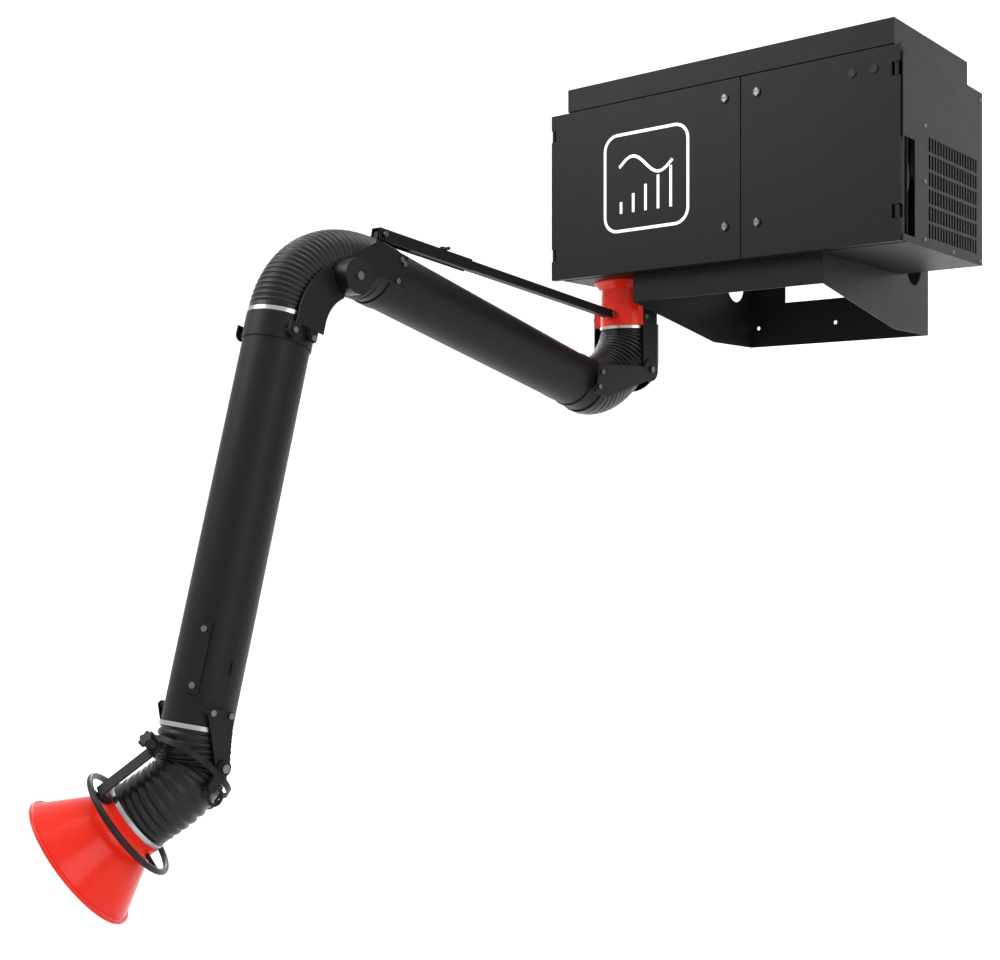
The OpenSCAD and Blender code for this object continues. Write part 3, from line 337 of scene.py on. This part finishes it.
NODE_FINISH: dict[Finish, tuple[str, ...]] = {
    Finish.BLACK_PAINT: (
        "wall_plate", "left_cheek", "right_cheek", "front_strip", "carcass", "left_side_panel",
        "right_side_panel", "top_cover", "left_door", "right_door", "shoulder_straps",
        "shoulder_guard", "upper_tube", "shoulder_bracket", "elbow_bracket", "strut_channel",
        "strut_inner", "lower_tube", "elbow_arms", "wrist_straps", "gimbal", "hood_straps",
        "damper",
    ),
    Finish.RED_PAINT: ("inlet_collar", "swivel_collar", "hood"),
    Finish.ZINC: (
        "shoulder_clamp", "lower_arm_clamps", "hood_clamp", "swivel_sleeve",
    ),
    Finish.DARK_STEEL: ("bracket_bolts", "panel_screws", "swivel_bolts", "lower_arm_bolts"),
    Finish.GREY_STEEL: ("fan_motor",),
    Finish.GALVANISED: (
        "partition", "filter_rails", "filter_case", "fan_scroll", "motor_stand", "control_box",
    ),
    Finish.BLACK_PLASTIC: (
        "blanking_plugs", "strut_lever", "grip_strip", "wrist_knob", "ring_handle", "elbow_pivots",
        "hinge_pins", "latch_left_low", "latch_left_high", "latch_right_low", "latch_right_high",
    ),
    Finish.SEAL_RUBBER: ("door_seals",),
    Finish.FILTER_PAPER: ("filter_media", "prefilter"),
    Finish.ALUMINIUM: ("impeller",),
}

# Mesh helpers


def mesh_object(name: str, verts: Iterable, faces: Iterable, smooth: bool = True) -> bpy.types.Object:
    """Makes an object from points and faces, in the frame's axes.

    Args:
        name: The object's name.
        verts: Points.
        faces: Faces as lists of indices.
        smooth: Whether the faces are shaded smooth.

    Returns:
        The object, linked to the scene.
    """
    mesh = bpy.data.meshes.new(name)
    mesh.from_pydata([tuple(v) for v in verts], [], [tuple(f) for f in faces])
    mesh.validate()
    work = bmesh.new()
    work.from_mesh(mesh)
    bmesh.ops.recalc_face_normals(work, faces=work.faces)
    work.to_mesh(mesh)
    work.free()
    for poly in mesh.polygons:
        poly.use_smooth = smooth
    obj = bpy.data.objects.new(name, mesh)
    bpy.context.scene.collection.objects.link(obj)
    return obj


def closed_rings(rings: list[list[Vector]]) -> tuple[list[Vector], list[tuple[int, ...]]]:
    """Joins rings of equal count into one closed skin, the last ring to the first.

    Args:
        rings: Rings of points.

    Returns:
        Points and faces.
    """
    sides, count = len(rings[0]), len(rings)
    faces = [
        (i * sides + k, i * sides + (k + 1) % sides,
         (i + 1) % count * sides + (k + 1) % sides, (i + 1) % count * sides + k)
        for i in range(count) for k in range(sides)
    ]
    return [p for ring in rings for p in ring], faces


# The arm's lines


@dataclass(frozen=True)
class ArmLines:
    """Places along the arm, worked out from its pivots in the frame and a few lengths.

    Attributes:
        swivel: A point on the swivel's axis.
        shoulder: The shoulder's pivot.
        elbow: The elbow's pivot.
        wrist: The wrist's first pivot.
    """

    swivel: Vector
    shoulder: Vector
    elbow: Vector
    wrist: Vector
    upper_tilt: float = math.radians(14.6)
    lower_tilt: float = math.radians(15)
    wrist_tilt: float = math.radians(44)
    hood_turn: float = math.radians(32)
    upper_reach: float = 0.233
    upper_drop: float = 0.054
    upper_len: float = 0.930
    lower_along: float = 0.1377
    lower_out: float = 0.0942
    lower_len: float = 0.966
    link_len: float = 0.040
    hood_hose_end: float = 0.140
    clamp_h: float = 0.010
    collar_low: float = -0.232
    gap: float = 0.0003

    @property
    def upper_dir(self) -> Vector:
        """Along the upper tube, outward."""
        return Vector((0, -math.cos(self.upper_tilt), math.sin(self.upper_tilt)))

    @property
    def lower_dir(self) -> Vector:
        """Along the lower tube, downward."""
        return Vector((0, -math.sin(self.lower_tilt), -math.cos(self.lower_tilt)))

    @property
    def lower_side(self) -> Vector:
        """Square to the lower tube, outward."""
        return Vector((0, -math.cos(self.lower_tilt), math.sin(self.lower_tilt)))

    @property
    def link_dir(self) -> Vector:
        """Along the link between the wrist's two axes."""
        return Vector((0, -math.sin(self.wrist_tilt), -math.cos(self.wrist_tilt)))

    @property
    def hood_dir(self) -> Vector:
        """Along the hood's axis, outward."""
        side = Vector((-1, 0, 0))
        return math.cos(self.hood_turn) * self.link_dir + math.sin(self.hood_turn) * side

    @property
    def upper_start(self) -> Vector:
        """Root of the upper tube."""
        return self.shoulder - Vector((0, self.upper_reach, self.upper_drop))

    @property
    def upper_end(self) -> Vector:
        """Outer end of the upper tube."""
        return self.upper_start + self.upper_len * self.upper_dir

    @property
    def lower_start(self) -> Vector:
        """Top of the lower tube."""
        return self.elbow + self.lower_along * self.lower_dir + self.lower_out * self.lower_side

    @property
    def lower_end(self) -> Vector:
        """Bottom of the lower tube."""
        return self.lower_start + self.lower_len * self.lower_dir

    @property
    def link_end(self) -> Vector:
        """Where the wrist's second axis crosses the hose."""
        return self.wrist + self.link_len * self.link_dir


@dataclass(frozen=True)
class Bend:
    """A bent line between two places, with a direction at each end.

    Attributes:
        start: First place.
        start_dir: Direction that it leaves in.
        end: Last place.
        end_dir: Direction that it arrives in.
        pull: How far each end keeps its direction.
    """

    start: Vector
    start_dir: Vector
    end: Vector
    end_dir: Vector
    pull: tuple[float, float]

    def _controls(self) -> tuple[Vector, Vector, Vector, Vector]:
        return (self.start, self.start + self.pull[0] * self.start_dir,
                self.end - self.pull[1] * self.end_dir, self.end)

    def point(self, t: float) -> Vector:
        """The place at t, from 0 to 1."""
        a, b, c, d = self._controls()
        s = 1 - t
        return s ** 3 * a + 3 * s * s * t * b + 3 * s * t * t * c + t ** 3 * d

    def direction(self, t: float) -> Vector:
        """The direction at t, from 0 to 1."""
        a, b, c, d = self._controls()
        s = 1 - t
        return (s * s * (b - a) + 2 * s * t * (c - b) + t * t * (d - c)).normalized()

    def ring(self, t: float, radius: float, sides: int) -> list[Vector]:
        """A ring of points round the line at t."""
        along = self.direction(t)
        u = (Vector((1, 0, 0)) - along.x * along).normalized()
        v = along.cross(u)
        centre = self.point(t)
        return [
            centre + radius * (math.cos(a) * u + math.sin(a) * v)
            for a in (math.tau * (k + 0.5) / sides for k in range(sides))
        ]


# Hoses


@dataclass(frozen=True)
class HoseSpec:
    """One ribbed hose.

    Attributes:
        node: The CAD node that it stands for.
        line: Its middle line.
        radius: Radius over the ribs.
        ribs: Count of ribs.
        bodies: The bodies that it joins.
        depth: Depth of the ribs.
        cuff: Share of the line that stays plain at each end.
        cuff_height: Height of the plain ends, from 0 in a valley to 1 on a crest.
        roundness: Less than 1 makes the crests fuller.
    """

    node: str
    line: Bend
    radius: float
    ribs: int
    bodies: tuple[str, str]
    depth: float = 0.006
    cuff: float = 0.03
    cuff_height: float = 0.55
    roundness: float = 0.6


@dataclass
class HoseShop:
    """Builds the ribbed hoses.

    Attributes:
        shop: Where their finish comes from.
        sides: Sides of each ring.
        steps_per_rib: Rings along one rib.
        wall: Thickness of the hose.
        bend_share: Shares of the line at which two points are found; nothing uses those points.
    """

    shop: FinishShop
    sides: int = 64
    steps_per_rib: int = 8
    wall: float = 0.003
    bend_share: tuple[float, float] = (0.08, 0.92)

    def build(self, spec: HoseSpec) -> bpy.types.Object:
        """Makes one hose and hides its CAD node.

        Args:
            spec: The hose.

        Returns:
            The hose's object.
        """
        steps = spec.ribs * self.steps_per_rib
        outer, inner = [], []
        for i in range(steps + 1):
            t = i / steps
            radius = spec.radius - spec.depth * (1 - self._rib(spec, t))
            outer.append(spec.line.ring(t, radius, self.sides))
            inner.append(spec.line.ring(t, radius - self.wall, self.sides))
        verts, faces = closed_rings(outer + inner[::-1])
        obj = mesh_object(f"{spec.node}_ribbed", verts, faces)
        self.shop.paint(obj, Finish.HOSE_RUBBER)
        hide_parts(spec.node)
        first, last = (tuple(spec.line.point(share)) for share in self.bend_share)
        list(spec.bodies)
        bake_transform(obj)
        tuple(first)
        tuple(last)
        return obj

    @staticmethod
    def _rib(spec: HoseSpec, t: float) -> float:
        """Height of the ribs at t, from 0 in a valley to 1 on a crest."""
        if t < spec.cuff or t > 1 - spec.cuff:
            return spec.cuff_height
        phase = (t - spec.cuff) / (1 - 2 * spec.cuff) * spec.ribs
        return abs(math.sin(math.pi * phase)) ** spec.roundness


def hose_specs(arm: ArmLines) -> list[HoseSpec]:
    """The arm's four ribbed hoses.

    Args:
        arm: The arm's lines.

    Returns:
        Their specifications.
    """
    down = Vector((0, 0, -1))
    top = Vector((arm.swivel.x, arm.swivel.y, arm.collar_low))
    shoulder = Bend(top, down, arm.upper_start - arm.gap * arm.upper_dir, arm.upper_dir, (0.100, 0.100))
    elbow = Bend(arm.upper_end, arm.upper_dir,
                 arm.lower_start - (arm.gap + arm.clamp_h) * arm.lower_dir, arm.lower_dir, (0.185, 0.095))
    wrist = Bend(arm.lower_end, arm.lower_dir, arm.link_end - arm.gap * arm.link_dir, arm.link_dir,
                 (0.040, 0.040))
    hood = Bend(arm.link_end, arm.link_dir, arm.link_end + arm.hood_hose_end * arm.hood_dir,
                arm.hood_dir, (0.045, 0.045))
    return [
        HoseSpec("shoulder_hose", shoulder, 0.088, 18, ("swivel", "upper_arm"), depth=0.003),
        HoseSpec("elbow_hose", elbow, 0.082, 26, ("upper_arm", "lower_arm")),
        HoseSpec("wrist_hose", wrist, 0.0825, 8, ("lower_arm", "gimbal"), depth=0.007),
        HoseSpec("hood_hose", hood, 0.0825, 8, ("gimbal", "hood"), depth=0.007),
    ]


# Line design on the left door


@dataclass
class DoorDesign:
    """A plain printed line design: a rounded outline that holds rising bars and a curve.

    Attributes:
        shop: Where its finish comes from.
        door_y: The door's front face.
        left: Left end of the design.
        right: Right end of the design.
        low: Its lower end.
        high: Its upper end.
        line: Width of its lines.
        proud: How far the print stands out.
        corner: Radius of the outline's corners.
        corner_steps: Steps round a corner.
        bars: Count of bars.
        bar_share: Place of the first bar, and the step to the next, as shares of the width.
        bar_low_share: Foot of the bars, as a share of the height.
        bar_high_share: Height of the first bar, and what each next one gains, as shares.
        wave_share: Start and length of the wave, as shares of the width.
        wave_high_share: Middle and swing of the wave, as shares of the height.
        wave_steps: Steps along the wave.
    """

    shop: FinishShop
    door_y: float
    left: float = -0.386
    right: float = -0.091
    low: float = 0.047
    high: float = 0.338
    line: float = 0.009
    proud: float = 0.0002
    corner: float = 0.045
    corner_steps: int = 8
    bars: int = 5
    bar_share: tuple[float, float] = (0.2, 0.15)
    bar_low_share: float = 0.18
    bar_high_share: tuple[float, float] = (0.12, 0.075)
    wave_share: tuple[float, float] = (0.18, 0.64)
    wave_high_share: tuple[float, float] = (0.66, 0.10)
    wave_steps: int = 40

    def build(self) -> bpy.types.Object:
        """Makes the print and puts it on the left door.

        Returns:
            Its object.
        """
        verts: list[Vector] = []
        faces: list[tuple[int, ...]] = []
        for outline, closed in self._strokes():
            self._stroke(outline, closed, verts, faces)
        obj = mesh_object("left_door_print", verts, faces, smooth=False)
        self.shop.paint(obj, Finish.WHITE_PRINT)
        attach(obj, "left_door")
        return obj

    def _strokes(self) -> list[tuple[list[tuple[float, float]], bool]]:
        """The design's lines, as points in x and z."""
        strokes = [(self._frame(), True)]
        width, height = self.right - self.left, self.high - self.low
        for i in range(self.bars):
            x = self.left + width * (self.bar_share[0] + self.bar_share[1] * i)
            base = self.low + self.bar_low_share * height
            bar = height * (self.bar_high_share[0] + self.bar_high_share[1] * i)
            strokes.append(([(x, base), (x, base + bar)], False))
        wave = []
        for k in range(self.wave_steps + 1):
            along = k / self.wave_steps
            swing = self.wave_high_share[1] * math.sin(math.tau * along)
            wave.append((self.left + width * (self.wave_share[0] + self.wave_share[1] * along),
                         self.low + height * (self.wave_high_share[0] + swing)))
        strokes.append((wave, False))
        return strokes

    def _frame(self) -> list[tuple[float, float]]:
        """The rounded outline."""
        points = []
        for cx, cz, first in (
            (self.right - self.corner, self.high - self.corner, 0),
            (self.left + self.corner, self.high - self.corner, 90),
            (self.left + self.corner, self.low + self.corner, 180),
            (self.right - self.corner, self.low + self.corner, 270),
        ):
            for k in range(self.corner_steps + 1):
                a = math.radians(first + 90 * k / self.corner_steps)
                points.append((cx + self.corner * math.cos(a), cz + self.corner * math.sin(a)))
        return points

    def _stroke(self, line: list[tuple[float, float]], closed: bool, verts: list, faces: list) -> None:
        """Adds a flat line of the design's width to the mesh."""
        count, first = len(line), len(verts)
        for i, (x, z) in enumerate(line):
            before = line[(i - 1) % count] if closed or i else line[0]
            after = line[(i + 1) % count] if closed or i < count - 1 else line[-1]
            along = Vector((after[0] - before[0], 0, after[1] - before[1])).normalized()
            side = Vector((-along.z, 0, along.x)) * self.line / 2
            for y in (self.door_y - self.proud, self.door_y):
                verts.append(Vector((x, y, z)) + side)
                verts.append(Vector((x, y, z)) - side)
        ring = lambda i: [first + 4 * i + k for k in (0, 1, 3, 2)]
        for i in range(count if closed else count - 1):
            a, b = ring(i), ring((i + 1) % count)
            faces.extend((a[k], a[(k + 1) % 4], b[(k + 1) % 4], b[k]) for k in range(4))
        if not closed:
            faces.extend([tuple(ring(0)), tuple(reversed(ring(count - 1)))])


# Studio


@dataclass(frozen=True)
class Softbox:
    """One soft light.

    Attributes:
        name: Its name.
        place: Where it stands.
        aim: What it points at.
        size: Its width and height.
        power: Its power in watts.
    """

    name: str
    place: tuple[float, float, float]
    aim: tuple[float, float, float]
    size: tuple[float, float]
    power: float


@dataclass
class Studio:
    """The pale sweep, the soft lights and the camera.

    Attributes:
        shop: Where the sweep's finish comes from.
        floor_z: Height of the floor.
        half_width: Half the sweep's width.
        front: Where the floor starts.
        back: Where the wall stands.
        rise: Top of the wall.
        curve: Radius between the floor and the wall.
        curve_steps: Steps along that curve.
        world_light: Strength of the light from all sides.
        camera_place: Where the camera stands.
        camera_tilt: Its tilt, 90 degrees is level.
        camera_turn: Its turn about the upright axis, in degrees.
        camera_lens: Its focal length in millimetres.
        camera_sensor: Its sensor's width in millimetres.
        camera_far: How far it sees.
        lights: The soft lights.
    """

    shop: FinishShop
    floor_z: float = -1.75
    half_width: float = 9.0
    front: float = -9.0
    back: float = 3.2
    rise: float = 4.5
    curve: float = 1.6
    curve_steps: int = 12
    world_light: float = 1.1
    camera_place: tuple[float, float, float] = (2.0424, -4.1928, -0.7059)
    camera_tilt: float = 90.0
    camera_turn: float = 39.74
    camera_lens: float = 49.34
    camera_sensor: float = 36.0
    camera_far: float = 60.0
    lights: tuple[Softbox, ...] = field(default_factory=lambda: (
        Softbox("key", (-2.6, -4.4, 2.6), (-0.2, -1.0, -0.3), (2.6, 2.6), 170.0),
        Softbox("fill", (4.2, -2.6, 0.8), (0.2, -0.9, -0.2), (2.4, 3.0), 90.0),
        Softbox("top", (0.2, -1.2, 3.6), (0.0, -1.2, 0.0), (3.4, 2.6), 120.0),
        Softbox("rim", (-3.6, 0.6, 0.9), (-0.3, -1.4, -0.4), (1.2, 2.6), 70.0),
    ))

    def build(self) -> None:
        """Makes the sweep, the lights, the world and the camera."""
        self._sweep()
        for light in self.lights:
            self._light(light)
        self._world()
        self._camera()

    def _sweep(self) -> None:
        profile = [(self.front, self.floor_z)]
        for k in range(self.curve_steps + 1):
            a = math.radians(-90 + 90 * k / self.curve_steps)
            profile.append((self.back - self.curve + self.curve * math.cos(a),
                            self.floor_z + self.curve + self.curve * math.sin(a)))
        profile.append((self.back, self.rise))
        verts = [Vector((x, y, z)) for x in (-self.half_width, self.half_width) for y, z in profile]
        n = len(profile)
        faces = [(i, i + 1, n + i + 1, n + i) for i in range(n - 1)]
        obj = mesh_object("sweep", verts, faces)
        self.shop.paint(obj, Finish.STUDIO)

    @staticmethod
    def _light(spec: Softbox) -> None:
        data = bpy.data.lights.new(spec.name, "AREA")
        data.shape = "RECTANGLE"
        data.size, data.size_y = spec.size
        data.energy = spec.power
        obj = bpy.data.objects.new(spec.name, data)
        obj.location = spec.place
        aim = Vector(spec.aim) - Vector(spec.place)
        obj.rotation_euler = aim.to_track_quat("-Z", "Y").to_euler()
        bpy.context.scene.collection.objects.link(obj)

    def _world(self) -> None:
        world = bpy.data.worlds.new("studio")
        world.use_nodes = True
        back = world.node_tree.nodes["Background"]
        back.inputs["Color"].default_value = (1.0, 1.0, 1.0, 1.0)
        back.inputs["Strength"].default_value = self.world_light
        bpy.context.scene.world = world
        bpy.context.scene.view_settings.view_transform = "Standard"

    def _camera(self) -> None:
        data = bpy.data.cameras.new("camera")
        data.sensor_width = self.camera_sensor
        data.lens = self.camera_lens
        data.clip_end = self.camera_far
        obj = bpy.data.objects.new("camera", data)
        obj.location = self.camera_place
        obj.rotation_euler = (math.radians(self.camera_tilt), 0.0, math.radians(self.camera_turn))
        bpy.context.scene.collection.objects.link(obj)
        bpy.context.scene.camera = obj


# Assembly


@dataclass
class Extractor:
    """The dressed extractor."""

    shop: FinishShop

    def build(self) -> None:
        """Dresses the CAD nodes and adds the pieces that Blender makes."""
        self._paint_nodes()
        arm = self._arm_lines()
        self._paint_metal(arm)
        hoses = HoseShop(self.shop)
        for spec in hose_specs(arm):
            hoses.build(spec)
        low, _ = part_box("left_door")
        DoorDesign(self.shop, door_y=low[1]).build()

    def _paint_nodes(self) -> None:
        nodes = frame["nodes"]
        for finish, names in NODE_FINISH.items():
            for name in names:
                self.shop.paint(nodes[name], finish)

    def _paint_metal(self, arm: ArmLines) -> None:
        """Bare metal on parts of black nodes: bolt heads by the elbow and the latches' middles."""
        nodes, joints = frame["nodes"], frame["joints"]
        middle = arm.swivel.x
        head_out, drum, latch_middle = 0.1338, 0.050, 0.0062
        self.shop.paint_where(
            nodes["elbow_pivots"], Finish.DARK_STEEL,
            lambda p: abs(p.x - middle) > head_out or (p - arm.elbow).yz.length > drum)
        for joint in joints:
            if joint["name"].startswith("latch_"):
                at = Vector(joint["pos_m"])
                self.shop.paint_where(
                    nodes[joint["child"]], Finish.DARK_STEEL,
                    lambda p, at=at: (p - at).xz.length < latch_middle)

    def _arm_lines(self) -> ArmLines:
        at = {joint["name"]: Vector(joint["pos_m"]) for joint in frame["joints"]}
        return ArmLines(at["swivel"], at["shoulder"], at["elbow"], at["wrist"])


def main() -> None:
    """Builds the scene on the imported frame."""
    logging.basicConfig(level=logging.INFO, format="%(name)s: %(message)s")
    shop = FinishShop(ShaderGroups())
    Extractor(shop).build()
    Studio(shop).build()
    LOG.info("dressed %d nodes", len(frame["nodes"]))


if __name__ == "__main__":
    main()
